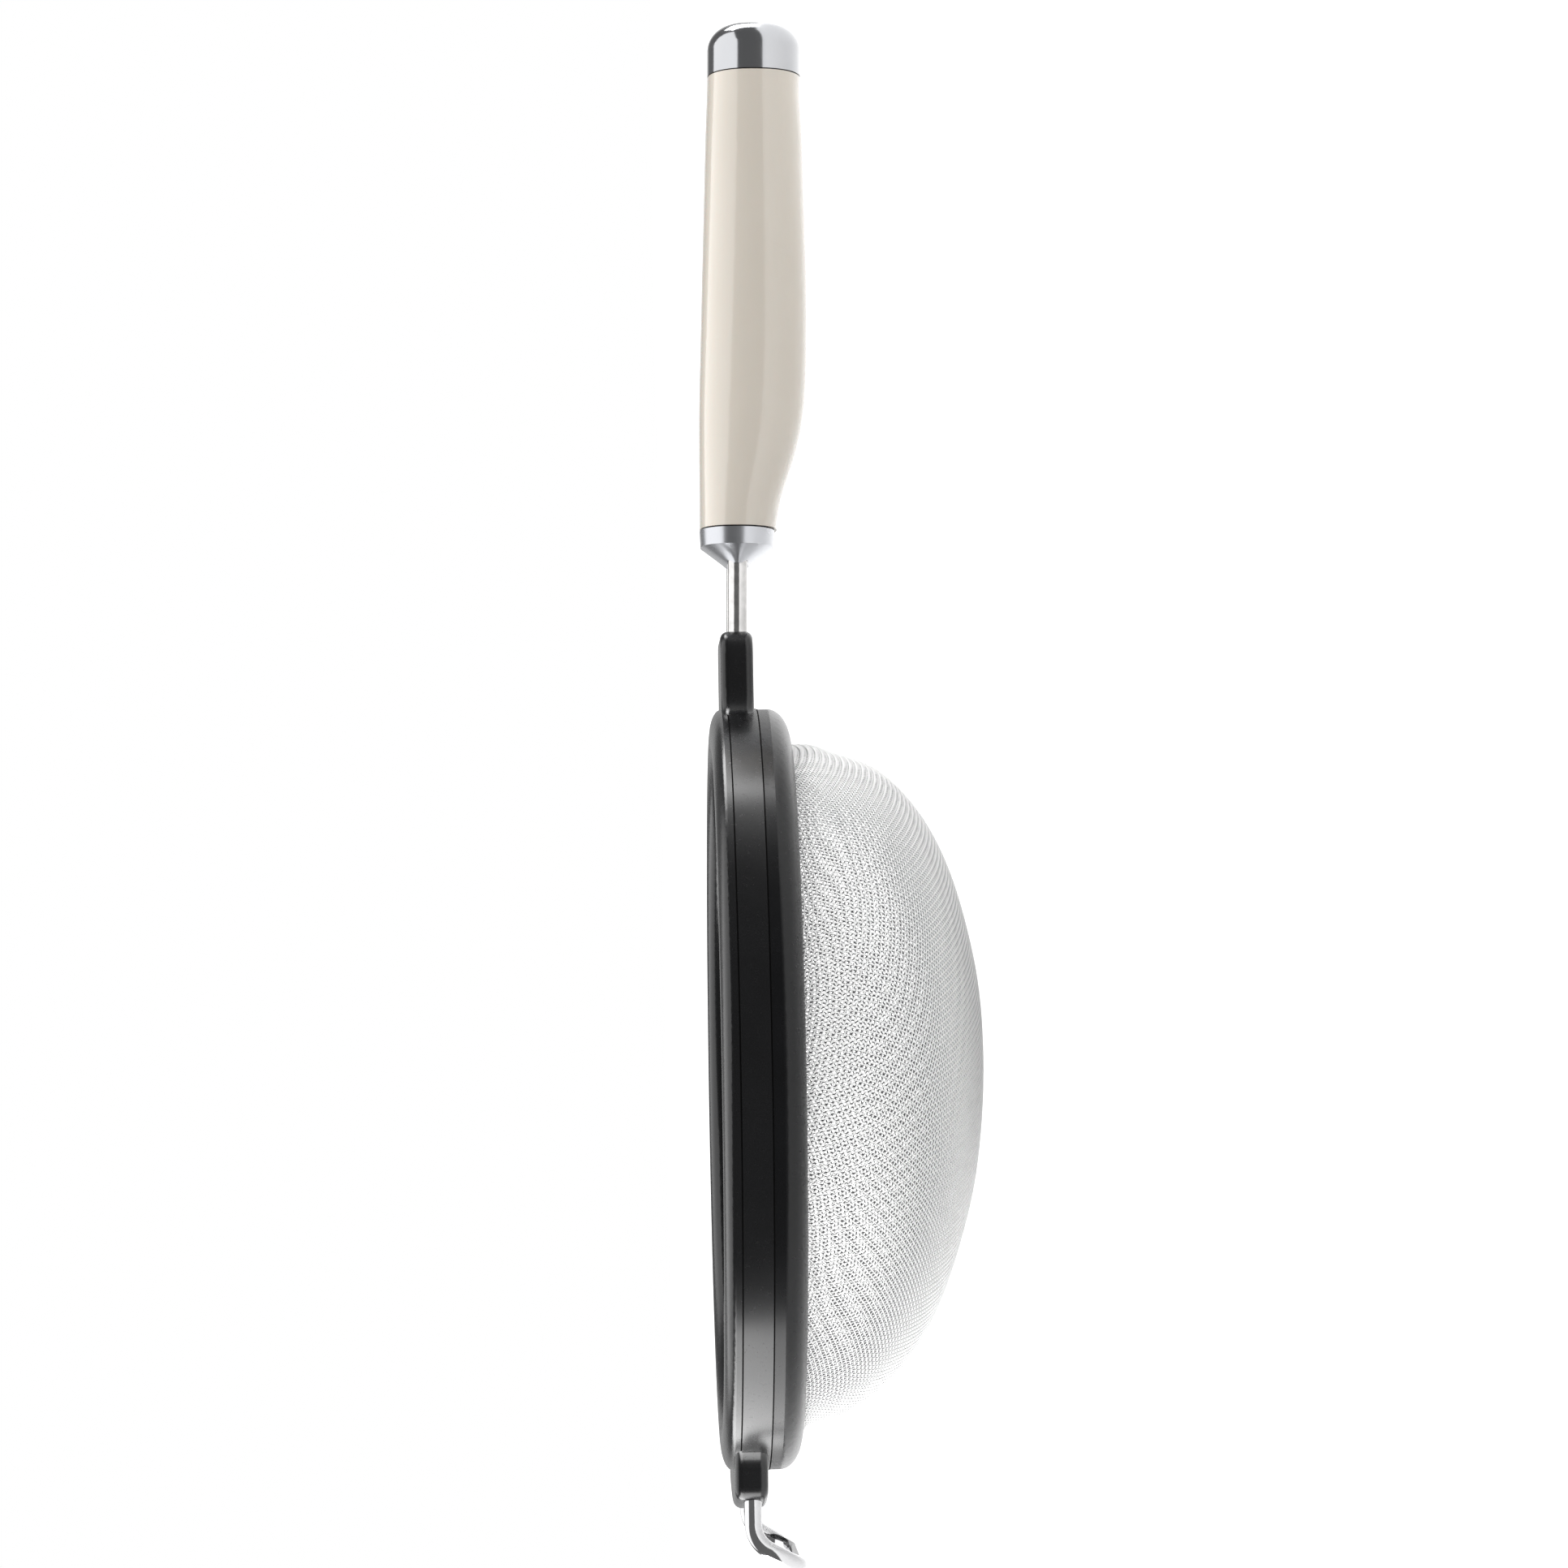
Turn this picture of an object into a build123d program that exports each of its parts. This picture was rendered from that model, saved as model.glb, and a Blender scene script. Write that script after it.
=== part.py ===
from build123d import *
import math
import os

os.makedirs("parts", exist_ok=True)

# Bowl strainer with a clamped wire bowl. Millimetres.
# Origin: centre of the opening on the plane of the lip's crest.
# +Z out of the opening, +X along the handle, the bowl hangs towards -Z.

# Rim, across
rim_radius = 98.0
rim_width = 12.2
lip_shoulder = 6.5
crest_width = 1.0
skirt_wall = 1.5
outer_wall = 2.4
pocket_wall = 2.0
band_step = 0.25
seat_gap = 0.3
crest_outer_radius = rim_radius - lip_shoulder
crest_inner_radius = crest_outer_radius - crest_width
skirt_inner_radius = rim_radius - rim_width
skirt_outer_radius = skirt_inner_radius + skirt_wall
chamber_radius = rim_radius - outer_wall

# Rim, down from the crest's plane
lip_outer_drop = 2.9
lip_inner_drop = 3.2
band_top_drop = 4.6
band_height = 7.3
rear_wall_height = 3.0
rear_round = 5.7
skirt_recess = 3.4
chamber_roof = 2.4
pocket_depth = 4.5
band_bottom_drop = band_top_drop + band_height
rear_wall_drop = band_bottom_drop + rear_wall_height
rim_height = rear_wall_drop + rear_round
skirt_low = rim_height - skirt_recess

# Neck and tab moulded on the rim
tongue_thickness = 8.4
tongue_edge_round = 2.0
neck_length = 19.5
neck_half_width = 18.5
neck_corner = 6.0
tab_length = 9.7
tab_root_half_width = 38.0
tab_root_depth = 18.0
tab_end_half_width = 31.0
tab_corner = 5.0
root_flare = 8.0
split_slope_length = 9.5
split_middle_share = 0.5
split_middle_lift = 0.4
tongue_bottom_drop = lip_outer_drop + tongue_thickness
neck_end = rim_radius + neck_length
tab_end_radius = rim_radius + tab_length
tab_root = rim_radius - tab_root_depth
tab_end = math.sqrt(tab_end_radius**2 - tab_end_half_width**2)

# Wire bowl and its hem
mesh_thickness = 0.8
mesh_edge_drop = 8.2
mesh_depth = 48.5
hem_sheet = 0.35
hem_height = 5.6
hem_gap = 0.25
hem_low_gap = 0.4
bowl_tilt_share = 0.039
bowl_shares = [
    (1.0, 0.0),
    (0.981, 0.126),
    (0.958, 0.262),
    (0.9125, 0.425),
    (0.8595, 0.532),
    (0.799, 0.625),
    (0.7145, 0.722),
    (0.607, 0.811),
    (0.467, 0.893),
    (0.3, 0.962),
    (0.1415, 0.993),
    (0.0, 1.0),
]
mesh_radius = skirt_outer_radius + seat_gap + hem_sheet + hem_gap + mesh_thickness
rear_inner_radius = mesh_radius + seat_gap
pocket_inner_radius = rear_inner_radius + pocket_wall
hem_slot_radius = mesh_radius + hem_gap + hem_sheet + seat_gap
rim_split_radius = (skirt_outer_radius + rear_inner_radius) / 2
hem_drop = mesh_edge_drop + hem_height
hem_slot_drop = hem_drop + hem_low_gap

# Steel wires
wire_drop = 7.4
hoop_wire = 4.0
hoop_gap = 0.4
rod_diameter = 5.0
rod_spacing = 18.0
rod_grip_depth = 91.0
hook_wire = 4.35
hook_spacing = 53.0
hook_leg_length = 2.3
hook_bend_radius = 7.6
hook_bend_angle = 61.0
hook_reach = 8.9
hook_corner_radius = 8.0
weld_gap = 0.05
bore_gap = 0.1
wire_plane = -wire_drop
hoop_radius = chamber_radius - hoop_gap - hoop_wire / 2
chamber_floor_drop = wire_drop + hoop_wire / 2 + seat_gap
hook_bend_start = tab_end_radius + hook_leg_length

# Handle, set out along its own axis, which drops a little from the rim's plane
handle_drop_angle = 1.0
pivot_reach = 9.0
shank_length = 18.0
cone_length = 4.8
ferrule_band_length = 4.3
ferrule_joint_gap = 0.4
grip_length = 118.4
cap_joint_gap = 0.3
cap_length = 12.8
core_cap_gap = 2.6
core_ferrule_gap = 0.4
ferrule_half_width = 15.0
ferrule_half_height = 9.75
ferrule_low_half_width = 14.7
ferrule_low_half_height = 9.5
cone_half_width = 12.0
cone_half_height = 2.9
ferrule_wall = 1.2
grip_wall = 2.6
cap_wall = 1.4
cap_round = 5.8
core_gap = 0.3
oval_power = 2.3
oval_points = 28
grip_top = 9.9
grip_bottom = 18.3
grip_half_width = 16.5
handle_pivot = rim_radius + pivot_reach
cone_start = neck_end + shank_length
ferrule_band_start = cone_start + cone_length
ferrule_end = ferrule_band_start + ferrule_band_length
grip_start = ferrule_end + ferrule_joint_gap
grip_end = grip_start + grip_length
cap_start = grip_end + cap_joint_gap
cap_end = cap_start + cap_length
core_start = ferrule_band_start + ferrule_wall + core_ferrule_gap
core_end = cap_end - cap_wall - core_cap_gap
rod_end = grip_start + rod_grip_depth
# Station along the grip, then its half width, top and bottom, each as a share of its named size
grip_shares = [
    (0.0, 0.91, 0.98, 0.565),
    (0.04, 0.913, 0.985, 0.6),
    (0.09, 0.918, 0.99, 0.68),
    (0.145, 0.927, 0.997, 0.795),
    (0.205, 0.938, 1.0, 0.895),
    (0.27, 0.952, 1.0, 0.96),
    (0.36, 0.97, 0.98, 0.992),
    (0.5, 0.99, 0.945, 1.0),
    (0.65, 1.0, 0.905, 0.978),
    (0.8, 0.992, 0.865, 0.947),
    (0.9, 0.977, 0.835, 0.922),
    (1.0, 0.955, 0.8, 0.9),
]

# Cut overrun
overrun = 5.0


def turned(outline):
    """Solid of revolution round the opening's axis; outline holds (radius, height) pairs and curves."""
    return revolve(make_face(Plane.XZ * outline), axis=Axis.Z)


def turned_polygon(points):
    return turned(Polyline(*points, close=True))


# Rim body before it is divided into its three rings
lip_arc = EllipticalCenterArc(
    (crest_outer_radius, -lip_outer_drop),
    rim_radius - crest_outer_radius,
    lip_outer_drop,
    start_angle=0,
)
inner_arc = EllipticalCenterArc(
    (crest_inner_radius, -lip_inner_drop),
    crest_inner_radius - skirt_inner_radius,
    lip_inner_drop,
    start_angle=90,
)
rear_arc = EllipticalCenterArc(
    (rear_inner_radius, -rear_wall_drop),
    rim_radius - rear_inner_radius,
    rim_height - rear_wall_drop,
    start_angle=270,
)
crest_line = Line((crest_outer_radius, 0), (crest_inner_radius, 0))
side_line = Polyline(
    (rim_radius, -rear_wall_drop),
    (rim_radius, -band_bottom_drop),
    (rim_radius + band_step, -band_bottom_drop),
    (rim_radius + band_step, -band_top_drop),
    (rim_radius, -band_top_drop),
    (rim_radius, -lip_outer_drop),
)
under_line = Polyline(
    (skirt_inner_radius, -lip_inner_drop),
    (skirt_inner_radius, -skirt_low),
    (rear_inner_radius, -rim_height),
)
rim_body = turned(lip_arc + crest_line + inner_arc + under_line + rear_arc + side_line)

# Neck and tab in plan, with their flared roots
neck_plan = Pos(neck_end / 2, 0) * Rectangle(neck_end, neck_half_width * 2)
neck_plan = fillet(neck_plan.vertices().group_by(Axis.X)[-1], neck_corner)
tab_taper = (tab_root_half_width - tab_end_half_width) / (tab_end - tab_root)
tab_reach = tab_end_radius + overrun
tab_reach_half_width = tab_root_half_width - tab_taper * (tab_reach - tab_root)
tab_plan = make_face(
    Polyline(
        (-tab_root, tab_root_half_width),
        (-tab_reach, tab_reach_half_width),
        (-tab_reach, -tab_reach_half_width),
        (-tab_root, -tab_root_half_width),
        close=True,
    )
)
tab_plan = tab_plan & Circle(tab_end_radius)
tab_plan = fillet(tab_plan.vertices().group_by(Axis.X)[0], tab_corner)
plan = Circle(rim_radius) + neck_plan + tab_plan
roots = [v for v in plan.vertices() if math.hypot(v.X, v.Y) < rim_radius + bore_gap]
plan = fillet(roots, root_flare)
plan = plan - Circle(chamber_radius)
tongues = extrude(Pos(0, 0, -tongue_bottom_drop) * plan, tongue_bottom_drop - lip_outer_drop)
outer_edges = [
    e
    for face in (tongues.faces().sort_by(Axis.Z)[0], tongues.faces().sort_by(Axis.Z)[-1])
    for e in face.outer_wire().edges()
]
tongues = fillet(outer_edges, tongue_edge_round)
rim_body = rim_body + tongues

# Hollow for the hoop, the hem and the mesh, open downwards as a slot
rim_body -= turned_polygon(
    [
        (skirt_outer_radius, -rim_height - overrun),
        (rear_inner_radius, -rim_height - overrun),
        (rear_inner_radius, -hem_slot_drop),
        (hem_slot_radius, -hem_slot_drop),
        (hem_slot_radius, -chamber_floor_drop),
        (chamber_radius, -chamber_floor_drop),
        (chamber_radius, -chamber_roof),
        (skirt_outer_radius, -chamber_roof),
    ]
)
rim_body -= turned_polygon(
    [
        (pocket_inner_radius, -band_bottom_drop),
        (chamber_radius, -band_bottom_drop),
        (chamber_radius, -band_bottom_drop - pocket_depth),
        (pocket_inner_radius, -band_bottom_drop - pocket_depth),
    ]
)


def along_handle(body):
    """Turn a body set out along a level axis onto the handle's dropping axis."""
    turned_down = Pos(handle_pivot, 0, wire_plane) * Rot(0, handle_drop_angle, 0)
    return turned_down * Pos(-handle_pivot, 0, -wire_plane) * body


def level_bar(start, stop, side, radius):
    """Round bar along X at one side of the middle plane, in the plane of the wires."""
    bar = Cylinder(radius, stop - start, align=(Align.CENTER, Align.CENTER, Align.MIN))
    return Pos(start, side, wire_plane) * Rot(0, 90, 0) * bar


def hook_body(radius):
    """Rest hook: two legs, a bend towards the bowl, two corners and a cross bar."""
    turn = math.radians(hook_bend_angle)
    slope = Vector(-math.cos(turn), 0, -math.sin(turn))
    leg_side = hook_spacing / 2
    start = Vector(-hoop_radius + hoop_wire, -leg_side, wire_plane)
    bend_start = Vector(-hook_bend_start, -leg_side, wire_plane)

    def on_bend(angle):
        return bend_start + Vector(-math.sin(angle), 0, math.cos(angle) - 1) * hook_bend_radius

    bend_stop = on_bend(turn)
    corner_start = bend_stop + slope * (hook_reach - hook_corner_radius)
    sideways = Vector(0, 1, 0)

    def on_corner(angle):
        turned_by = slope * math.sin(angle) + sideways * (1 - math.cos(angle))
        return corner_start + turned_by * hook_corner_radius

    corner_stop = on_corner(math.radians(90))
    on_corner_middle = on_corner(math.radians(45))
    far = [start, bend_start, on_bend(turn / 2), bend_stop, corner_start, on_corner_middle, corner_stop]
    near = [Vector(p.X, -p.Y, p.Z) for p in far]
    path = Wire(
        [
            Edge.make_line(far[0], far[1]),
            Edge.make_three_point_arc(far[1], far[2], far[3]),
            Edge.make_line(far[3], far[4]),
            Edge.make_three_point_arc(far[4], far[5], far[6]),
            Edge.make_line(far[6], near[6]),
            Edge.make_three_point_arc(near[6], near[5], near[4]),
            Edge.make_line(near[4], near[3]),
            Edge.make_three_point_arc(near[3], near[2], near[1]),
            Edge.make_line(near[1], near[0]),
        ]
    )
    return sweep(Plane(origin=start, z_dir=(-1, 0, 0)) * Circle(radius), path=path)


# Steel hoop, rods and hook; rods and hook are coped where they meet the hoop
frame_hoop = Pos(0, 0, wire_plane) * Torus(hoop_radius, hoop_wire / 2)
cope = Pos(0, 0, wire_plane) * Torus(hoop_radius, hoop_wire / 2 + weld_gap)
inside_hoop = Pos(0, 0, wire_plane) * Cylinder(hoop_radius, rod_diameter * 2)
rods = {}
for name, side in (("left", rod_spacing / 2), ("right", -rod_spacing / 2)):
    rod = along_handle(level_bar(hoop_radius - hoop_wire, rod_end, side, rod_diameter / 2))
    rods[name] = rod - inside_hoop - cope
    rim_body -= along_handle(level_bar(hoop_radius, rod_end, side, rod_diameter / 2 + bore_gap))
rest_hook = hook_body(hook_wire / 2) - inside_hoop - cope
for side in (hook_spacing / 2, -hook_spacing / 2):
    rim_body -= level_bar(-tab_end_radius - overrun, -hoop_radius + hoop_wire, side, hook_wire / 2 + bore_gap)

# Divide the rim: lip ring above the stepped joint, rear ring below the band
lip_zone = turned_polygon(
    [
        (0, -rim_height - overrun),
        (rim_split_radius, -rim_height - overrun),
        (rim_split_radius, -band_top_drop),
        (rim_radius + band_step, -band_top_drop),
        (rim_radius + split_slope_length * split_middle_share, wire_plane + split_middle_lift),
        (rim_radius + split_slope_length, wire_plane),
        (neck_end + overrun, wire_plane),
        (neck_end + overrun, overrun),
        (0, overrun),
    ]
)
rear_zone = turned_polygon(
    [
        (rim_split_radius, -rim_height - overrun),
        (neck_end + overrun, -rim_height - overrun),
        (neck_end + overrun, -band_bottom_drop),
        (rim_split_radius, -band_bottom_drop),
    ]
)
rim_lip_ring = rim_body & lip_zone
rim_rear_ring = rim_body & rear_zone
rim_centre_ring = rim_body - lip_zone - rear_zone

# Woven bowl as a thin closed shell, a little deeper on the handle's side


def bowl_body(radius, depth):
    wall_top = -mesh_edge_drop + overrun
    curve = Spline(
        *[(radius * across, -rim_height - depth * down) for across, down in bowl_shares],
        tangents=((0, -1), (-1, 0)),
    )
    frame = Polyline((0, -rim_height - depth), (0, wall_top), (radius, wall_top), (radius, -rim_height))
    return turned(curve + frame)


bowl = bowl_body(mesh_radius, mesh_depth)
bowl -= bowl_body(mesh_radius - mesh_thickness, mesh_depth - mesh_thickness)
lean = Matrix([[1, 0, 0, 0], [0, 1, 0, 0], [-bowl_tilt_share, 0, 1, 0], [0, 0, 0, 1]])
bowl = bowl.transform_geometry(lean)
above_edge = Pos(0, 0, -mesh_edge_drop) * Box(
    rim_radius * 2,
    rim_radius * 2,
    rim_height,
    align=(Align.CENTER, Align.CENTER, Align.MIN),
)
mesh_bowl = bowl - above_edge

hem_inner = mesh_radius - mesh_thickness - hem_gap
hem_outer = mesh_radius + hem_gap
hem_top = -mesh_edge_drop + hem_gap
mesh_hem_band = turned_polygon(
    [
        (hem_inner, -hem_drop),
        (hem_inner, hem_top),
        (hem_outer, hem_top),
        (hem_outer, -hem_drop),
        (hem_outer + hem_sheet, -hem_drop),
        (hem_outer + hem_sheet, hem_top + hem_sheet),
        (hem_inner - hem_sheet, hem_top + hem_sheet),
        (hem_inner - hem_sheet, -hem_drop),
    ]
)


def oval(station, half_width, top, bottom):
    """Closed rounded outline across the handle, from its top and bottom heights."""
    middle = (top - bottom) / 2
    half_height = (top + bottom) / 2
    points = []
    for k in range(oval_points):
        angle = math.tau * k / oval_points
        across = math.copysign(abs(math.cos(angle)) ** (2 / oval_power), math.cos(angle))
        up = math.copysign(abs(math.sin(angle)) ** (2 / oval_power), math.sin(angle))
        points.append((station, half_width * across, wire_plane + middle + half_height * up))
    return make_face(Spline(*points, periodic=True))


def grip_oval(station, shares, inset):
    width_share, top_share, bottom_share = shares
    return oval(
        station,
        grip_half_width * width_share - inset,
        grip_top * top_share - inset,
        grip_bottom * bottom_share - inset,
    )


def grip_body(start, stop, inset):
    """Loft through the grip's stations; past the grip's ends the end outlines are held."""
    ovals = [grip_oval(grip_start + grip_length * share, shares, inset) for share, *shares in grip_shares]
    if start < grip_start:
        ovals.insert(0, grip_oval(start, grip_shares[0][1:], inset))
    if stop > grip_end:
        ovals.append(grip_oval(stop, grip_shares[-1][1:], inset))
    return loft(ovals)


# Grip, core, ferrule and end cap
grip_shell = grip_body(grip_start, grip_end, 0)
grip_shell -= grip_body(grip_start - overrun, grip_end + overrun, grip_wall)
handle_core = grip_body(core_start, core_end, grip_wall + core_gap)
for side in (rod_spacing / 2, -rod_spacing / 2):
    handle_core -= level_bar(core_start - overrun, rod_end + core_gap, side, rod_diameter / 2 + bore_gap)


def ferrule_body(inset, overlap):
    """Band with a shallow cone towards the rods; overlap lengthens it past the band's end."""
    half_width = ferrule_half_width - inset
    half_height = ferrule_half_height - inset
    band = loft(
        [
            oval(ferrule_end + overlap, half_width, half_height, half_height),
            oval(
                ferrule_band_start + inset,
                ferrule_low_half_width - inset,
                ferrule_low_half_height - inset,
                ferrule_low_half_height - inset,
            ),
        ],
        ruled=True,
    )
    cone = loft(
        [
            oval(
                ferrule_band_start + inset,
                ferrule_low_half_width - inset,
                ferrule_low_half_height - inset,
                ferrule_low_half_height - inset,
            ),
            oval(
                cone_start + inset,
                cone_half_width - inset,
                cone_half_height - inset / 2,
                cone_half_height - inset / 2,
            ),
        ],
        ruled=True,
    )
    return band + cone


ferrule = ferrule_body(0, 0) - ferrule_body(ferrule_wall, overrun)
for side in (rod_spacing / 2, -rod_spacing / 2):
    ferrule -= level_bar(cone_start - overrun, grip_start, side, rod_diameter / 2 + bore_gap)


def cap_body(start, stop, inset, roundness):
    """Straight oval plug with its free end rounded over."""
    section = grip_oval(start, grip_shares[-1][1:], inset)
    body = extrude(section, stop - start, dir=(1, 0, 0))
    return fillet(body.faces().sort_by(Axis.X)[-1].edges(), roundness)


end_cap = cap_body(cap_start, cap_end, 0, cap_round) - cap_body(
    cap_start - overrun,
    cap_end - cap_wall,
    cap_wall,
    cap_round - cap_wall,
)

pieces = {
    "end_cap": along_handle(end_cap),
    "grip_shell": along_handle(grip_shell),
    "handle_core": along_handle(handle_core),
    "ferrule": along_handle(ferrule),
    "shank_rod_left": rods["left"],
    "shank_rod_right": rods["right"],
    "frame_hoop": frame_hoop,
    "mesh_bowl": mesh_bowl,
    "mesh_hem_band": mesh_hem_band,
    "rim_lip_ring": rim_lip_ring,
    "rim_centre_ring": rim_centre_ring,
    "rim_rear_ring": rim_rear_ring,
    "rest_hook": rest_hook,
}
for name, body in pieces.items():
    export_step(body, "parts/" + name + ".step")
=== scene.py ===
import math

import bpy
import numpy as np
from mathutils import Matrix, Vector
from mathutils.bvhtree import BVHTree


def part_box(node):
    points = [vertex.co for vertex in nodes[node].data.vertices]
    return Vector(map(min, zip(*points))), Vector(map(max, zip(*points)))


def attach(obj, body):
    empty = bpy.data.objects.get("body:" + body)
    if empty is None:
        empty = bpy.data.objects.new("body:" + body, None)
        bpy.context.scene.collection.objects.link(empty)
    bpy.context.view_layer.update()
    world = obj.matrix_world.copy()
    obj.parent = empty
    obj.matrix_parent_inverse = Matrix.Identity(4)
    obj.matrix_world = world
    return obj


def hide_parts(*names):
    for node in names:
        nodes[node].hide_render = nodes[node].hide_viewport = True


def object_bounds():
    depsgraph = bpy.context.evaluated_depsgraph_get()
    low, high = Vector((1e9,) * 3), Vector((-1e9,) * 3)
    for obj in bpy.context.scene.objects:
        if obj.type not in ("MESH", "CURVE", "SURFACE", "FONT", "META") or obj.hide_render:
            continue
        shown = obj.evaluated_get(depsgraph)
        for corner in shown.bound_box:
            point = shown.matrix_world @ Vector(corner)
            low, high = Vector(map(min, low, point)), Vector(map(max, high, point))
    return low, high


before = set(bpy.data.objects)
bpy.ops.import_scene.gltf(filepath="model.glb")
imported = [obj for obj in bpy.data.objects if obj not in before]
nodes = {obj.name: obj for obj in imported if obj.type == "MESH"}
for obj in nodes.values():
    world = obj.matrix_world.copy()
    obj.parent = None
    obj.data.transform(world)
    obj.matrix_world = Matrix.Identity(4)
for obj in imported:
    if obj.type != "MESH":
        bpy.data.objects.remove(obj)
cad_low, cad_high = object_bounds()

# Fine-mesh bowl strainer, lying with its opening up. Lengths are metres.
# +Z out of the opening, +X along the handle, origin at the opening's centre on the lip's crest.
MM = 0.001

# Camera: level, at -Y, rolled so that +X points up in the square photograph
PHOTO_WIDTH = 1932
SCALE_AT_AXIS = 0.2103 * MM
CAMERA_DISTANCE = 1.400
CAMERA_HEIGHT = 26.5 * MM
CENTRE_ALONG = 78.7 * MM
CENTRE_UP = -19.2 * MM
ROLL_SLOPE = 0.01694
SENSOR = 36.0
CLIP_START = 0.01
CLIP_END = 50.0

# Woven wire: the step between crossings, the net's turn against the handle, one wire's size
MESH_STEP = 1.08 * MM
MESH_TURN = math.radians(29.0)
MESH_WIRE = 0.42 * MM
MESH_CRIMP = 0.18 * MM
MESH_SIDES = 4
MESH_TOP = -8.9 * MM
LEAST_CROSSINGS = 3
NET_REACH_SHARE = 1.7

# The bowl's middle surface, measured by rays from a place inside it
BOWL_EYE = Vector((0.0, 0.0, -15.0 * MM))
BOWL_RAYS = 240
BOWL_ARC = math.radians(88.0)
WALL_LEAST_ANGLE = 0.5
WALL_PROBE = 0.1 * MM
LEVEL_STEP = 0.2 * MM
PROFILE_ARC = math.radians(150.0)
PROFILE_POINTS = 6000

# The search for the tilt that puts a crossing on the bowl
FIRST_TILT = 0.05
TILT_TRIES = 5
LEAST_CHANGE = 1e-12

# Seams round the rim
SEAM_HEIGHT = 0.35 * MM
SEAM_PROUD_SHARE = 0.3
SEAM_SIDES = 360
RIM_STEP_TOP = -4.6 * MM

# Base colours, each as the two ends of its variation
CAP_TONES = (0.42, 0.43, 0.45), (0.48, 0.48, 0.49)
COLLAR_TONES = (0.50, 0.51, 0.54), (0.56, 0.57, 0.59)
HOOK_TONES = (0.54, 0.54, 0.55), (0.66, 0.66, 0.665)
ROD_TONES = (0.45, 0.445, 0.44), (0.75, 0.74, 0.73)
HIDDEN_STEEL_TONES = (0.50, 0.50, 0.50), (0.66, 0.66, 0.66)
WIRE_TONES = (0.93, 0.93, 0.93), (0.98, 0.98, 0.975)
CREAM_TONES = (0.455, 0.415, 0.36), (0.478, 0.438, 0.383)
CORE_TONES = (0.06, 0.06, 0.06), (0.10, 0.10, 0.10)
BLACK_TONES = (0.0015, 0.0016, 0.002), (0.004, 0.0042, 0.005)
# Painted shadow: the seam rings are near-black to stand in for the shade inside the joints.
SEAM_SHADOW_TONES = (0.0005, 0.0005, 0.0005), (0.003, 0.003, 0.003)
FLOOR_TONES = (0.40, 0.40, 0.40), (0.42, 0.42, 0.42)
CARD_TONE = (0.72, 0.72, 0.72, 1.0)

# Roughness, likewise
CAP_ROUGHNESS = 0.10, 0.17
COLLAR_ROUGHNESS = 0.24, 0.32
HOOK_ROUGHNESS = 0.05, 0.16
ROD_ROUGHNESS = 0.08, 0.24
HIDDEN_STEEL_ROUGHNESS = 0.25, 0.42
WIRE_ROUGHNESS = 0.28, 0.42
CREAM_ROUGHNESS = 0.16, 0.24
CORE_ROUGHNESS = 0.5, 0.65
BLACK_ROUGHNESS = 0.22, 0.29
SEAM_ROUGHNESS = 0.8, 0.95
PAPER_ROUGHNESS = 0.9

# Painted shade: wires are painted dark where they face into the bowl, standing in for the shade
# between neighbouring wires, and keep their bright tone where they face out of it.
# The facing is the cosine to the outward direction, from the last dark one to the first bright one.
WIRE_PAINTED_SHADE = (0.10, 0.10, 0.105)
WIRE_FACING = -0.30, 0.65
WIRE_METALLIC = 0.22

# Small specks in the black mouldings: the band of noise that makes them, and what they add
SPECK_EDGES = 0.66, 0.74
SPECK_ROUGHNESS = 0.05
SPECK_HEIGHT = 0.5

# How strongly the black mouldings mirror; the rear ring is duller
RIM_SHINE = 0.5
REAR_RING_SHINE = 0.3

# Studio: strengths in radiance against the white ground's 1
WHITE = (1.0, 1.0, 1.0, 1.0)
ROOM_SEEN = 1.0
ROOM_REFLECTED = 0.18
ROOM_ON_MATT = 0.97
FLOOR_GLOW = 0.97
SOFTBOXES = {  # name: place, size, radiance
    "softbox_over_opening": ((0.10, 0.12, 1.10), (3.0, 1.7), 1.5),
    "softbox_beyond_handle": ((1.24, 0.38, 0.10), (0.6, 1.0), 9.0),
    "softbox_behind": ((0.0, 1.5, 0.15), (3.2, 0.6), 0.45),
    "softbox_beyond_hook": ((-1.26, 0.26, 0.10), (1.5, 1.0), 6.8),
}

# Stage: the floor's corners, the bounce card's corners and how far under the floor it lies
FLOOR_CORNERS = (-8.0, -8.0), (8.0, 8.0)
CARD_CORNERS = (-1.2, -0.22), (1.2, 1.3)
CARD_DROP = 1.0 * MM


class Sock:
    """A shader socket that takes plain arithmetic."""

    def __init__(self, tree, socket):
        self.tree = tree
        self.socket = socket

    def _math(self, operation, *values):
        return self.tree.node("ShaderNodeMath", {"operation": operation}, list(values))

    def __add__(self, other):
        return self._math("ADD", self, other)

    def __mul__(self, other):
        return self._math("MULTIPLY", self, other)


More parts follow.
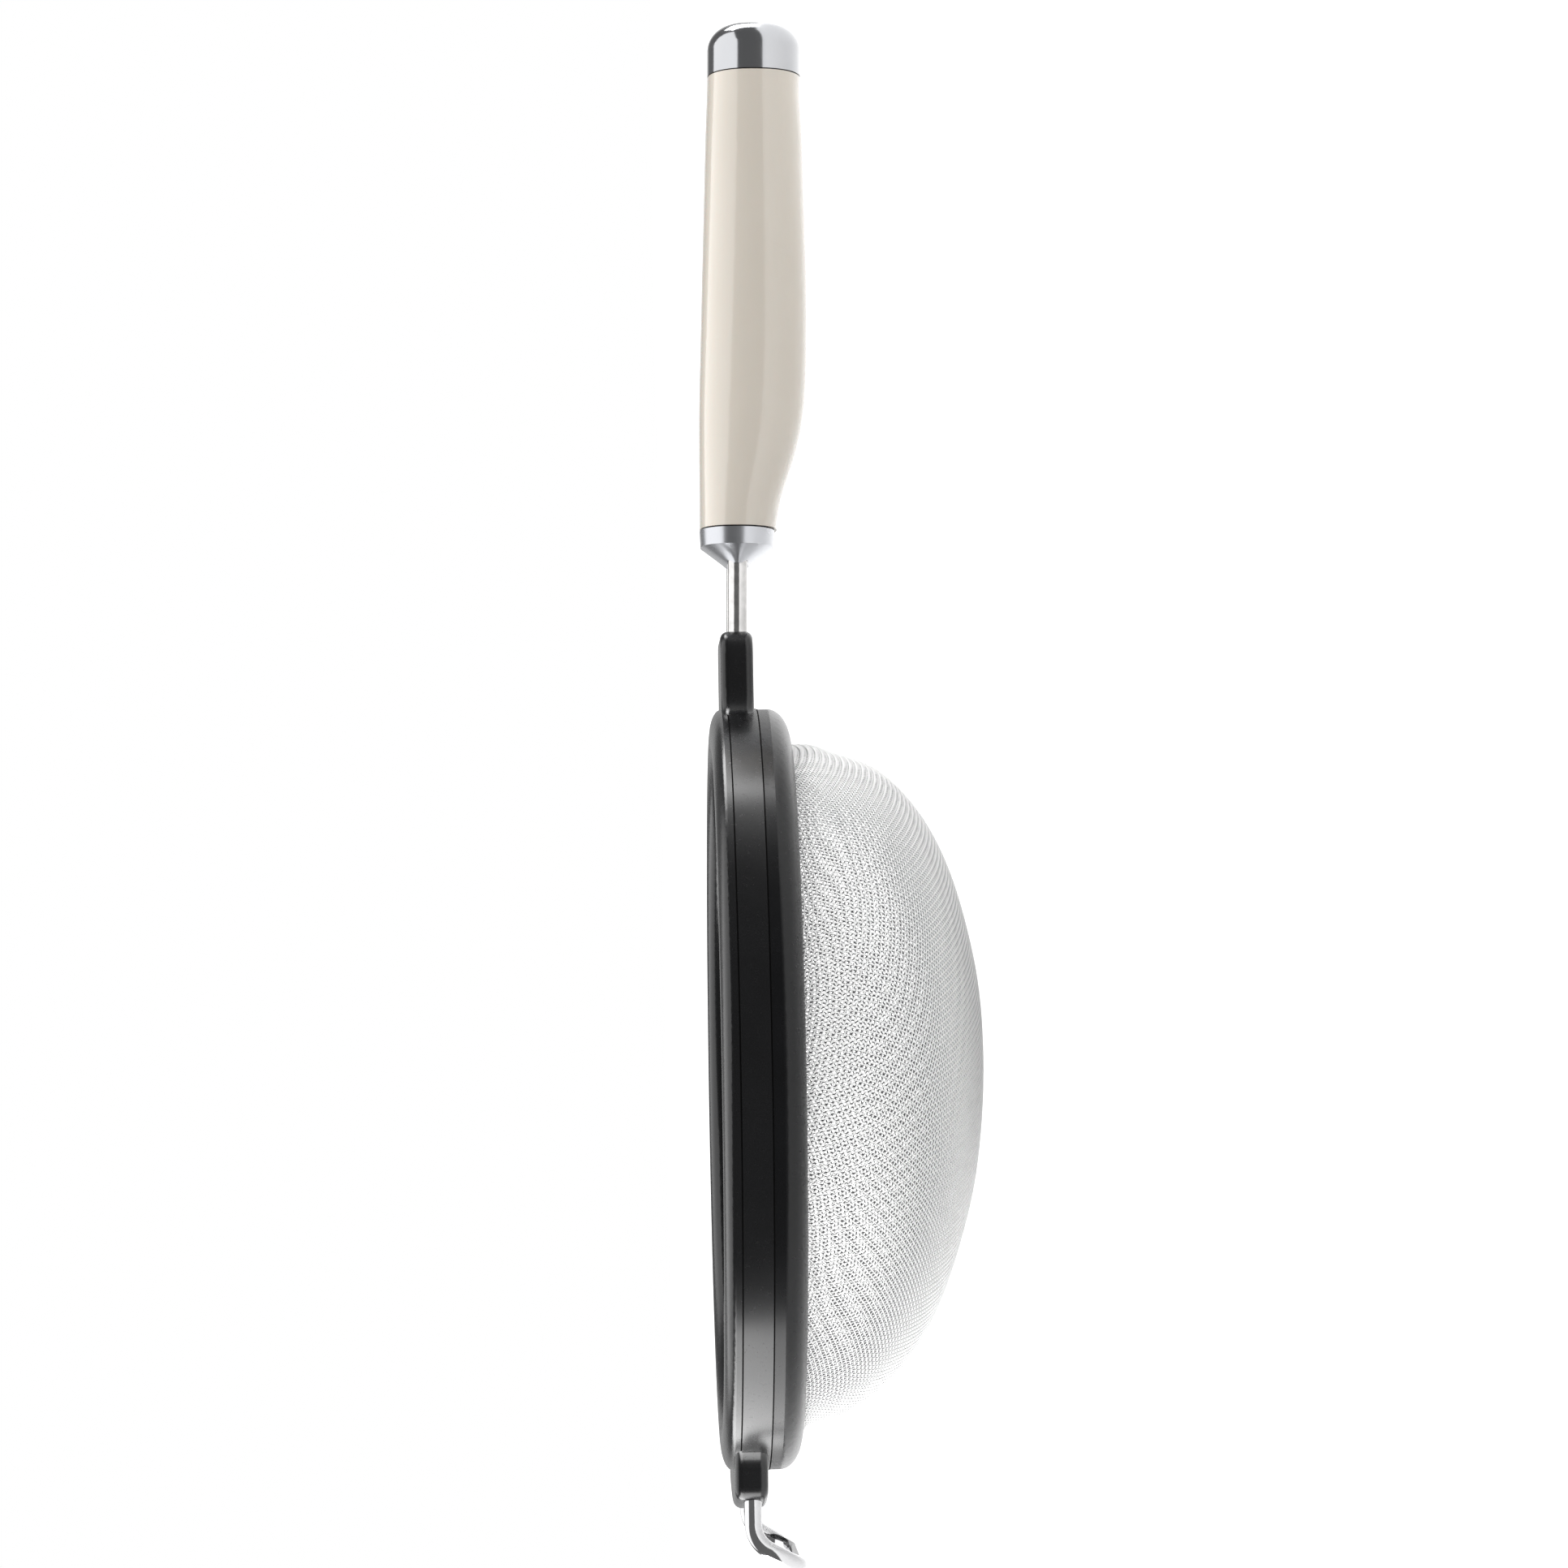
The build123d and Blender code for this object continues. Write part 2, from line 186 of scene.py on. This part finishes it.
class Finish:
    """One material: its node tree, its shader and one method that adds any node."""

    def __init__(self, name):
        self.material = bpy.data.materials.new(name)
        self.material.use_nodes = True
        self.nodes = self.material.node_tree.nodes
        self.links = self.material.node_tree.links
        self.shader = self.nodes["Principled BSDF"]
        self.place = self.node("ShaderNodeTexCoord", output="Object")

    def node(self, kind, settings=None, inputs=None, output=0):
        made = self.nodes.new(kind)
        for name, value in (settings or {}).items():
            if name == "stops":
                self._stops(made.color_ramp, value)
            else:
                setattr(made, name, value)
        pairs = inputs.items() if isinstance(inputs, dict) else enumerate(inputs or [])
        for name, value in pairs:
            self.feed(made.inputs[name], value)
        return Sock(self, made.outputs[output])

    def _stops(self, ramp, stops):
        while len(ramp.elements) < len(stops):
            ramp.elements.new(1.0)
        for element, (place, colour) in zip(ramp.elements, stops):
            element.position = place
            element.color = (*colour, 1.0)

    def feed(self, target, value):
        if isinstance(value, Sock):
            self.links.new(value.socket, target)
        else:
            target.default_value = value

    def set(self, **values):
        """Values of the shader's own sockets; an underscore stands for a space."""
        for name, value in values.items():
            self.feed(self.shader.inputs[name.replace("_", " ")], value)
        return self

    def noise(self, scale, detail=2.0, stretch=None):
        place = self.place
        if stretch:
            place = self.node("ShaderNodeMapping", {}, {"Vector": place, "Scale": stretch})
        made = {"Vector": place, "Scale": scale, "Detail": detail}
        return self.node("ShaderNodeTexNoise", {}, made, "Fac")

    def between(self, amount, low, high):
        """A value that runs from low to high as amount runs from 0 to 1."""
        return amount * (high - low) + low

    def blend(self, amount, first, second):
        settings = {"data_type": "RGBA", "blend_type": "MIX"}
        colours = [c if isinstance(c, Sock) else (*c, 1.0) for c in (first, second)]
        made = {"Factor": amount, 6: colours[0], 7: colours[1]}
        return self.node("ShaderNodeMix", settings, made, 2)

    def bump(self, height, strength, distance):
        made = {"Strength": strength, "Distance": distance, "Height": height}
        self.set(Normal=self.node("ShaderNodeBump", {}, made, "Normal"))
        return self


def bright_chrome(name, tones, roughness):
    f = Finish(name)
    haze = f.noise(scale=55.0, detail=3.0)
    f.set(Base_Color=f.blend(haze, *tones))
    f.set(Metallic=1.0, Roughness=f.between(haze, *roughness))
    return f.material


def hook_chrome():
    f = Finish("hook_chrome")
    pull = f.noise(scale=220.0)
    f.set(Base_Color=f.blend(pull, *HOOK_TONES))
    f.set(Metallic=1.0, Roughness=f.between(pull, *HOOK_ROUGHNESS))
    return f.bump(pull, strength=0.10, distance=0.05 * MM).material


def rod_steel():
    """Drawn wire: fine lines along X and small spots."""
    f = Finish("drawn_rod_steel")
    drawn = f.noise(scale=900.0, detail=3.0, stretch=(0.03, 1.0, 1.0))
    spots = f.noise(scale=420.0, detail=3.0)
    f.set(Base_Color=f.blend(spots, *ROD_TONES))
    f.set(Metallic=1.0, Roughness=f.between(spots, *ROD_ROUGHNESS))
    return f.bump(drawn + spots, strength=0.18, distance=0.04 * MM).material


def hidden_steel():
    f = Finish("plain_wire_steel")
    grain = f.noise(scale=600.0)
    f.set(Base_Color=f.blend(grain, *HIDDEN_STEEL_TONES))
    f.set(Metallic=1.0, Roughness=f.between(grain, *HIDDEN_STEEL_ROUGHNESS))
    return f.material


def mesh_steel():
    """Bright wire with painted shade on the side that faces into the bowl."""
    f = Finish("woven_wire_steel")
    batch = f.noise(scale=160.0)
    from_eye = f.node("ShaderNodeVectorMath", {"operation": "SUBTRACT"}, [f.place, tuple(BOWL_EYE)])
    outward = f.node("ShaderNodeVectorMath", {"operation": "NORMALIZE"}, [from_eye])
    normal = f.node("ShaderNodeNewGeometry", output="Normal")
    facing = f.node("ShaderNodeVectorMath", {"operation": "DOT_PRODUCT"}, [outward, normal], "Value")
    # Painted shade: faces turned into the bowl take a dark colour in place of the wire's own tone.
    bright = f.node("ShaderNodeMapRange", {}, [facing, *WIRE_FACING])
    unshaded_wire_tone = f.blend(batch, *WIRE_TONES)
    f.set(Base_Color=f.blend(bright, WIRE_PAINTED_SHADE, unshaded_wire_tone))
    f.set(Metallic=WIRE_METALLIC, Roughness=f.between(batch, *WIRE_ROUGHNESS))
    return f.material


def cream_gloss():
    f = Finish("cream_gloss_plastic")
    cloud = f.noise(scale=38.0, detail=3.0)
    flow = f.noise(scale=240.0, stretch=(0.12, 1.0, 1.0))
    f.set(Base_Color=f.blend(cloud, *CREAM_TONES))
    f.set(Roughness=f.between(flow, *CREAM_ROUGHNESS), IOR=1.5)
    f.set(Coat_Weight=0.6, Coat_Roughness=0.06)
    f.set(Subsurface_Weight=0.06, Subsurface_Scale=2.0 * MM)
    return f.bump(flow, strength=0.04, distance=0.05 * MM).material


def core_plastic():
    f = Finish("dark_core_plastic")
    grain = f.noise(scale=500.0)
    f.set(Base_Color=f.blend(grain, *CORE_TONES))
    f.set(Roughness=f.between(grain, *CORE_ROUGHNESS))
    return f.material


def black_satin(name, shine):
    """Black mouldings: a fine grain, rubbed patches and a few small specks."""
    f = Finish(name)
    grain = f.noise(scale=1500.0)
    rubbed = f.noise(scale=70.0, detail=4.0)
    first, last = SPECK_EDGES
    specks = f.node(
        "ShaderNodeValToRGB",
        {"stops": [(first, (0.0, 0.0, 0.0)), (last, (1.0, 1.0, 1.0))]},
        {"Fac": f.noise(scale=900.0, detail=1.0)},
        "Color",
    )
    f.set(Base_Color=f.blend(rubbed, *BLACK_TONES))
    f.set(Roughness=f.between(rubbed, *BLACK_ROUGHNESS) + specks * SPECK_ROUGHNESS, IOR=1.52)
    f.set(Specular_IOR_Level=shine)
    return f.bump(grain + specks * SPECK_HEIGHT, strength=0.06, distance=0.03 * MM).material


def seam_shadow():
    """Painted shadow: nearly black, as nearly no light comes back out of a seam."""
    f = Finish("seam_shadow")
    dust = f.noise(scale=800.0)
    f.set(Base_Color=f.blend(dust, *SEAM_SHADOW_TONES))
    f.set(Roughness=f.between(dust, *SEAM_ROUGHNESS), Specular_IOR_Level=0.05)
    return f.material


def floor_finish():
    f = Finish("pale_floor")
    paper = f.noise(scale=30.0, detail=3.0)
    f.set(Base_Color=f.blend(paper, *FLOOR_TONES))
    f.set(Roughness=PAPER_ROUGHNESS, Specular_IOR_Level=0.0)
    f.set(Emission_Color=WHITE, Emission_Strength=FLOOR_GLOW)
    return f.material


def card_finish():
    f = Finish("white_card")
    f.set(Base_Color=CARD_TONE, Roughness=PAPER_ROUGHNESS, Specular_IOR_Level=0.0)
    return f.material


class Bowl:
    """The wall's middle surface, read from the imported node: a turned profile that leans a little."""

    def __init__(self, node):
        self.tree = BVHTree.FromPolygons(
            [v.co.copy() for v in node.data.vertices],
            [tuple(p.vertices) for p in node.data.polygons],
        )
        self.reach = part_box(node.name)[1].y
        self.lean = self._lean(self.reach / 2)
        angles = np.linspace(0.0, BOWL_ARC, BOWL_RAYS)
        rays = [Vector((0.0, math.sin(a), -math.cos(a))) for a in angles]
        self.angles = angles
        self.distances = np.array([self._middle(BOWL_EYE, ray) for ray in rays])
        self.wall_radius = float(self.distances[-1] * math.sin(angles[-1]))

    def _middle(self, start, ray):
        """How far along a ray the middle of the wall lies."""
        inner = self.tree.ray_cast(start, ray)[0]
        outer = self.tree.ray_cast(inner + ray * WALL_PROBE, ray)[0]
        return ((inner + outer) / 2 - start).length

    def _lean(self, out):
        """The slope along X by which the bowl is deeper on one side."""
        down = Vector((0.0, 0.0, -1.0))
        depths = [self._middle(Vector((x, 0.0, BOWL_EYE.z)), down) for x in (out, -out)]
        return (depths[0] - depths[1]) / (2 * out)

    def _distance(self, angle):
        """From the eye to the middle surface; above the measured arc the wall runs straight up."""
        inside = np.interp(angle, self.angles, self.distances)
        wall = self.wall_radius / np.sin(np.maximum(angle, WALL_LEAST_ANGLE))
        return np.where(angle < self.angles[-1], inside, wall)

    def level(self, point):
        """How far a point of the upright bowl lies outside the middle surface."""
        across = np.hypot(point[..., 0], point[..., 1])
        down = BOWL_EYE.z - point[..., 2]
        return np.hypot(across, down) - self._distance(np.arctan2(across, down))

    def outward(self, point):
        """The direction square to the middle surface, away from the bowl's inside."""
        axes = np.eye(3) * LEVEL_STEP
        parts = [self.level(point + axis) - self.level(point - axis) for axis in axes]
        return unit(np.stack(parts, -1))

    def meridian(self, step, count, angle):
        """Points a step apart along the profile from the bowl's lowest place."""
        fine = np.linspace(0.0, PROFILE_ARC, PROFILE_POINTS)
        out = self._distance(fine)
        across = out * np.sin(fine)
        up = BOWL_EYE.z - out * np.cos(fine)
        lengths = np.hypot(np.diff(across), np.diff(up))
        along = np.concatenate([[0.0], np.cumsum(lengths)])
        places = np.arange(count) * step
        across = np.interp(places, along, across)
        up = np.interp(places, along, up)
        return np.stack([across * math.cos(angle), across * math.sin(angle), up], -1)


def unit(vector):
    """Vectors along the last axis, each brought to length one."""
    return vector / np.linalg.norm(vector, axis=-1, keepdims=True)


def quarter_net(bowl, step, count):
    """A quarter of a square net on the bowl: each crossing lies one step from two neighbours."""
    net = np.full((count, count, 3), np.nan)
    net[:, 0] = bowl.meridian(step, count, 0.0)
    net[0, :] = bowl.meridian(step, count, math.pi / 2)
    for diagonal in range(2, 2 * count - 1):
        i = np.arange(max(1, diagonal - count + 1), min(diagonal, count))
        j = diagonal - i
        first, second, behind = net[i - 1, j], net[i, j - 1], net[i - 1, j - 1]
        middle = (first + second) / 2
        half = np.linalg.norm(second - first, axis=-1, keepdims=True) / 2
        reach = np.sqrt(np.maximum(step**2 - half**2, 0.0))
        side = unit(second - first)
        away = unit(np.cross(side, bowl.outward(middle)))
        away = away * np.sign(np.sum(away * (middle - behind), -1, keepdims=True))
        rise = np.cross(away, side)

        def turned(tilt):
            return middle + reach * (np.cos(tilt)[:, None] * away + np.sin(tilt)[:, None] * rise)

        last, angle = np.zeros(len(i)), np.full(len(i), FIRST_TILT)
        last_level, level = bowl.level(turned(last)), bowl.level(turned(angle))
        for _ in range(TILT_TRIES):
            change = level - last_level
            change = np.where(np.abs(change) < LEAST_CHANGE, LEAST_CHANGE, change)
            last, angle = angle, angle - level * (angle - last) / change
            last_level, level = level, bowl.level(turned(angle))
        net[i, j] = turned(angle)
    return net


def draped_net(bowl, step, turn):
    """All four quarters of the net, turned, as a square array of crossings."""
    count = int(bowl.reach * NET_REACH_SHARE / step)
    quarter = quarter_net(bowl, step, count)
    i, j = np.mgrid[0:count, 0:count]
    full = np.full((2 * count - 1, 2 * count - 1, 3), np.nan)
    for number, (across, along) in enumerate([(i, j), (-j, i), (-i, -j), (j, -i)]):
        angle = turn + number * math.pi / 2
        spin = np.array(Matrix.Rotation(angle, 3, "Z"))
        full[across + count - 1, along + count - 1] = quarter @ spin.T
    return full


def wire_lines(net, outward, weave, keep):
    """Lines of crossings along the array's first axis, as vertices, edges and two attributes."""
    points, normals, heights, edges = [], [], [], []
    for column in range(net.shape[1]):
        rows = np.flatnonzero(keep[:, column])
        if len(rows) < LEAST_CROSSINGS:
            continue
        start = len(points)
        points.extend(net[rows, column])
        normals.extend(outward[rows, column])
        heights.extend(weave[rows, column])
        joined = np.flatnonzero(np.diff(rows) == 1)
        edges.extend((start + int(k), start + int(k) + 1) for k in joined)
    return points, edges, normals, heights


def weaving_tree():
    """Geometry nodes: lines of crossings become crimped round wire."""
    tree = bpy.data.node_groups.new("woven_wire", "GeometryNodeTree")
    interface = tree.interface
    interface.new_socket("Geometry", in_out="INPUT", socket_type="NodeSocketGeometry")
    sockets = {"Wire radius": "Float", "Crimp": "Float", "Sides": "Int", "Metal": "Material"}
    for name, kind in sockets.items():
        interface.new_socket(name, in_out="INPUT", socket_type="NodeSocket" + kind)
    interface.new_socket("Geometry", in_out="OUTPUT", socket_type="NodeSocketGeometry")

    def node(kind, settings=None, inputs=None):
        made = tree.nodes.new(kind)
        for name, value in (settings or {}).items():
            setattr(made, name, value)
        for name, value in (inputs or {}).items():
            if isinstance(value, bpy.types.NodeSocket):
                tree.links.new(value, made.inputs[name])
            else:
                made.inputs[name].default_value = value
        return made

    def attribute(name, kind):
        made = node("GeometryNodeInputNamedAttribute", {"data_type": kind}, {"Name": name})
        return made.outputs["Attribute"]

    start = node("NodeGroupInput").outputs
    lift = node(
        "ShaderNodeMath",
        {"operation": "MULTIPLY"},
        {0: attribute("weave", "FLOAT"), 1: start["Crimp"]},
    )
    offset = node(
        "ShaderNodeVectorMath",
        {"operation": "SCALE"},
        {0: attribute("outward", "FLOAT_VECTOR"), "Scale": lift.outputs[0]},
    )
    placed = node(
        "GeometryNodeSetPosition",
        {},
        {"Geometry": start["Geometry"], "Offset": offset.outputs[0]},
    )
    curve = node("GeometryNodeMeshToCurve", {}, {"Mesh": placed.outputs[0]})
    ring = node(
        "GeometryNodeCurvePrimitiveCircle",
        {"mode": "RADIUS"},
        {"Resolution": start["Sides"], "Radius": start["Wire radius"]},
    )
    wire = node(
        "GeometryNodeCurveToMesh",
        {},
        {"Curve": curve.outputs[0], "Profile Curve": ring.outputs[0], "Fill Caps": True},
    )
    smooth = node("GeometryNodeSetShadeSmooth", {}, {"Geometry": wire.outputs[0]})
    real = node("GeometryNodeRealizeInstances", {}, {"Geometry": smooth.outputs[0]})
    dressed = node(
        "GeometryNodeSetMaterial",
        {},
        {"Geometry": real.outputs[0], "Material": start["Metal"]},
    )
    end = node("NodeGroupOutput")
    tree.links.new(dressed.outputs[0], end.inputs[0])
    return tree


def modifier_input(modifier, tree, name, value):
    """Give one of the group's inputs its value; the modifier knows it by its identifier."""
    sockets = [s for s in tree.interface.items_tree if s.in_out == "INPUT" and s.name == name]
    modifier[sockets[0].identifier] = value


def woven_piece(name, lines, tree, metal):
    """Some of the wires as one plain mesh."""
    points, edges, normals, heights = lines
    mesh = bpy.data.meshes.new(name + "_lines")
    mesh.from_pydata([tuple(p) for p in points], edges, [])
    outward = mesh.attributes.new("outward", "FLOAT_VECTOR", "POINT")
    outward.data.foreach_set("vector", np.array(normals, np.float32).ravel())
    weave = mesh.attributes.new("weave", "FLOAT", "POINT")
    weave.data.foreach_set("value", np.array(heights, np.float32))
    source = bpy.data.objects.new(name + "_source", mesh)
    bpy.context.scene.collection.objects.link(source)
    modifier = source.modifiers.new("weaving", "NODES")
    modifier.node_group = tree
    settings = {
        "Wire radius": MESH_WIRE / 2,
        "Crimp": MESH_CRIMP,
        "Sides": MESH_SIDES,
        "Metal": metal,
    }
    for key, value in settings.items():
        modifier_input(modifier, tree, key, value)
    depsgraph = bpy.context.evaluated_depsgraph_get()
    made = bpy.data.meshes.new_from_object(source.evaluated_get(depsgraph), depsgraph=depsgraph)
    made.name = name
    for attribute in ("outward", "weave"):
        if attribute in made.attributes:
            made.attributes.remove(made.attributes[attribute])
    bpy.data.objects.remove(source)
    piece = bpy.data.objects.new(name, made)
    bpy.context.scene.collection.objects.link(piece)
    return piece


def woven_bowl(metal):
    """Warp and weft wires of the bowl, each in two pieces."""
    bowl = Bowl(nodes["mesh_bowl"])
    net = draped_net(bowl, MESH_STEP, MESH_TURN)
    outward = bowl.outward(net)
    net[..., 2] -= bowl.lean * net[..., 0]
    i, j = np.indices(net.shape[:2])
    weave = np.where((i + j) % 2 == 0, 1.0, -1.0)
    keep = ~np.isnan(net[..., 0]) & (net[..., 2] < MESH_TOP)
    tree = weaving_tree()
    pieces = []
    flipped = (net.transpose(1, 0, 2), outward.transpose(1, 0, 2), -weave.T, keep.T)
    for family, arrays in (("warp", (net, outward, weave, keep)), ("weft", flipped)):
        middle = arrays[0].shape[1] // 2
        for half, columns in (("a", slice(0, middle)), ("b", slice(middle, None))):
            lines = wire_lines(*(a[:, columns] for a in arrays))
            pieces.append(woven_piece("bowl_" + family + "_wires_" + half, lines, tree, metal))
    return pieces


def seam_ring(name, outer, inner, top, bottom, material):
    """A fine closed ring of painted shadow that shows the joint between two of the rim's mouldings as
    a dark line.
    """
    section = ((outer, top), (inner, top), (inner, bottom), (outer, bottom))
    corners = len(section)
    points = []
    faces = []
    for k in range(SEAM_SIDES):
        angle = math.tau * k / SEAM_SIDES
        points.extend((r * math.cos(angle), r * math.sin(angle), z) for r, z in section)
        near = corners * k
        far = corners * ((k + 1) % SEAM_SIDES)
        for i in range(corners):
            j = (i + 1) % corners
            faces.append((near + i, near + j, far + j, far + i))
    mesh = bpy.data.meshes.new(name)
    mesh.from_pydata(points, [], faces)
    mesh.update()
    ring = bpy.data.objects.new(name, mesh)
    bpy.context.scene.collection.objects.link(ring)
    dress(ring, material)
    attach(ring, "root")


def rim_seams():
    """Dark rings of painted shadow at the seams where the centre ring stands a little proud of its
    neighbours above and below.
    """
    low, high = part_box("rim_centre_ring")
    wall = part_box("rim_rear_ring")[1].y
    proud = wall + (high.y - wall) * SEAM_PROUD_SHARE
    inner = wall - SEAM_HEIGHT
    shadow = seam_shadow()
    seam_ring("upper_rim_seam", proud, inner, RIM_STEP_TOP + SEAM_HEIGHT, RIM_STEP_TOP, shadow)
    seam_ring("lower_rim_seam", proud, inner, low.z, low.z - SEAM_HEIGHT, shadow)


def dress(node, material):
    """One material on all of a node's faces."""
    slots = node.data.materials
    if slots:
        for index in range(len(slots)):
            slots[index] = material
    else:
        slots.append(material)


def softbox(name, place, size, radiance):
    """A flat light at a place, facing the strainer."""
    data = bpy.data.lights.new(name, "AREA")
    data.shape = "RECTANGLE"
    data.size, data.size_y = size
    data.energy = radiance * math.pi * size[0] * size[1]
    lamp = bpy.data.objects.new(name, data)
    bpy.context.scene.collection.objects.link(lamp)
    lamp.location = place
    lamp.rotation_euler = (-Vector(place)).to_track_quat("-Z", "Y").to_euler()
    lamp.visible_camera = False


def studio():
    """White seen by the camera, a dim room for reflections and a pale one for matt surfaces."""
    world = bpy.data.worlds.new("studio")
    bpy.context.scene.world = world
    world.use_nodes = True
    tree = world.node_tree
    tree.nodes.remove(tree.nodes["Background"])
    rays = tree.nodes.new("ShaderNodeLightPath")

    def backdrop(strength):
        made = tree.nodes.new("ShaderNodeBackground")
        made.inputs["Color"].default_value = WHITE
        made.inputs["Strength"].default_value = strength
        return made.outputs[0]

    def choice(ray, otherwise, chosen):
        made = tree.nodes.new("ShaderNodeMixShader")
        for target, source in zip(made.inputs, (rays.outputs[ray], otherwise, chosen)):
            tree.links.new(source, target)
        return made.outputs[0]

    unseen = choice("Is Diffuse Ray", backdrop(ROOM_REFLECTED), backdrop(ROOM_ON_MATT))
    light = choice("Is Camera Ray", unseen, backdrop(ROOM_SEEN))
    tree.links.new(light, tree.nodes["World Output"].inputs["Surface"])
    for name, (place, size, radiance) in SOFTBOXES.items():
        softbox(name, place, size, radiance)


def flat_stage(name, low, high, height, material):
    """A level rectangle that isn't part of the strainer."""
    mesh = bpy.data.meshes.new(name)
    corners = [(low[0], low[1]), (high[0], low[1]), (high[0], high[1]), (low[0], high[1])]
    mesh.from_pydata([(x, y, height) for x, y in corners], [], [(0, 1, 2, 3)])
    made = bpy.data.objects.new(name, mesh)
    bpy.context.scene.collection.objects.link(made)
    dress(made, material)
    return made


def ground():
    """The pale floor that shows, and a white card under the strainer that only throws light back."""
    floor = flat_stage("floor", *FLOOR_CORNERS, cad_low.z, floor_finish())
    floor.visible_diffuse = floor.visible_glossy = floor.visible_shadow = False
    card = flat_stage("bounce_card", *CARD_CORNERS, cad_low.z - CARD_DROP, card_finish())
    card.visible_camera = False


def photograph_camera():
    """The camera, as fitted to the photograph's outlines."""
    data = bpy.data.cameras.new("photograph")
    camera = bpy.data.objects.new("photograph", data)
    bpy.context.scene.collection.objects.link(camera)
    place = Vector((0.0, -CAMERA_DISTANCE, CAMERA_HEIGHT))
    looking = (Vector((CENTRE_ALONG, 0.0, CENTRE_UP)) - place).normalized()
    right = looking.cross(Vector((1.0, 0.0, -ROLL_SLOPE))).normalized()
    up = right.cross(looking)
    turn = Matrix((right, up, -looking)).transposed()
    camera.matrix_world = Matrix.Translation(place) @ turn.to_4x4()
    data.sensor_width = SENSOR
    data.lens = SENSOR * CAMERA_DISTANCE / (SCALE_AT_AXIS * PHOTO_WIDTH)
    data.clip_start = CLIP_START
    data.clip_end = CLIP_END
    bpy.context.scene.camera = camera


finishes = {
    "end_cap": bright_chrome("bright_chrome", CAP_TONES, CAP_ROUGHNESS),
    "grip_shell": cream_gloss(),
    "handle_core": core_plastic(),
    "ferrule": bright_chrome("collar_chrome", COLLAR_TONES, COLLAR_ROUGHNESS),
    "shank_rod_left": rod_steel(),
    "frame_hoop": hidden_steel(),
    "rest_hook": hook_chrome(),
    "rim_lip_ring": black_satin("black_satin_plastic", RIM_SHINE),
    "rim_rear_ring": black_satin("rear_ring_plastic", REAR_RING_SHINE),
}
same_finish = {
    "shank_rod_right": "shank_rod_left",
    "mesh_hem_band": "frame_hoop",
    "rim_centre_ring": "rim_lip_ring",
}
for name, like in same_finish.items():
    finishes[name] = finishes[like]
for name, material in finishes.items():
    dress(nodes[name], material)

wires = woven_bowl(mesh_steel())
for wire in wires:
    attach(wire, "root")
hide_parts("mesh_bowl")

rim_seams()
studio()
ground()
photograph_camera()
bpy.context.scene.view_settings.view_transform = "Standard"
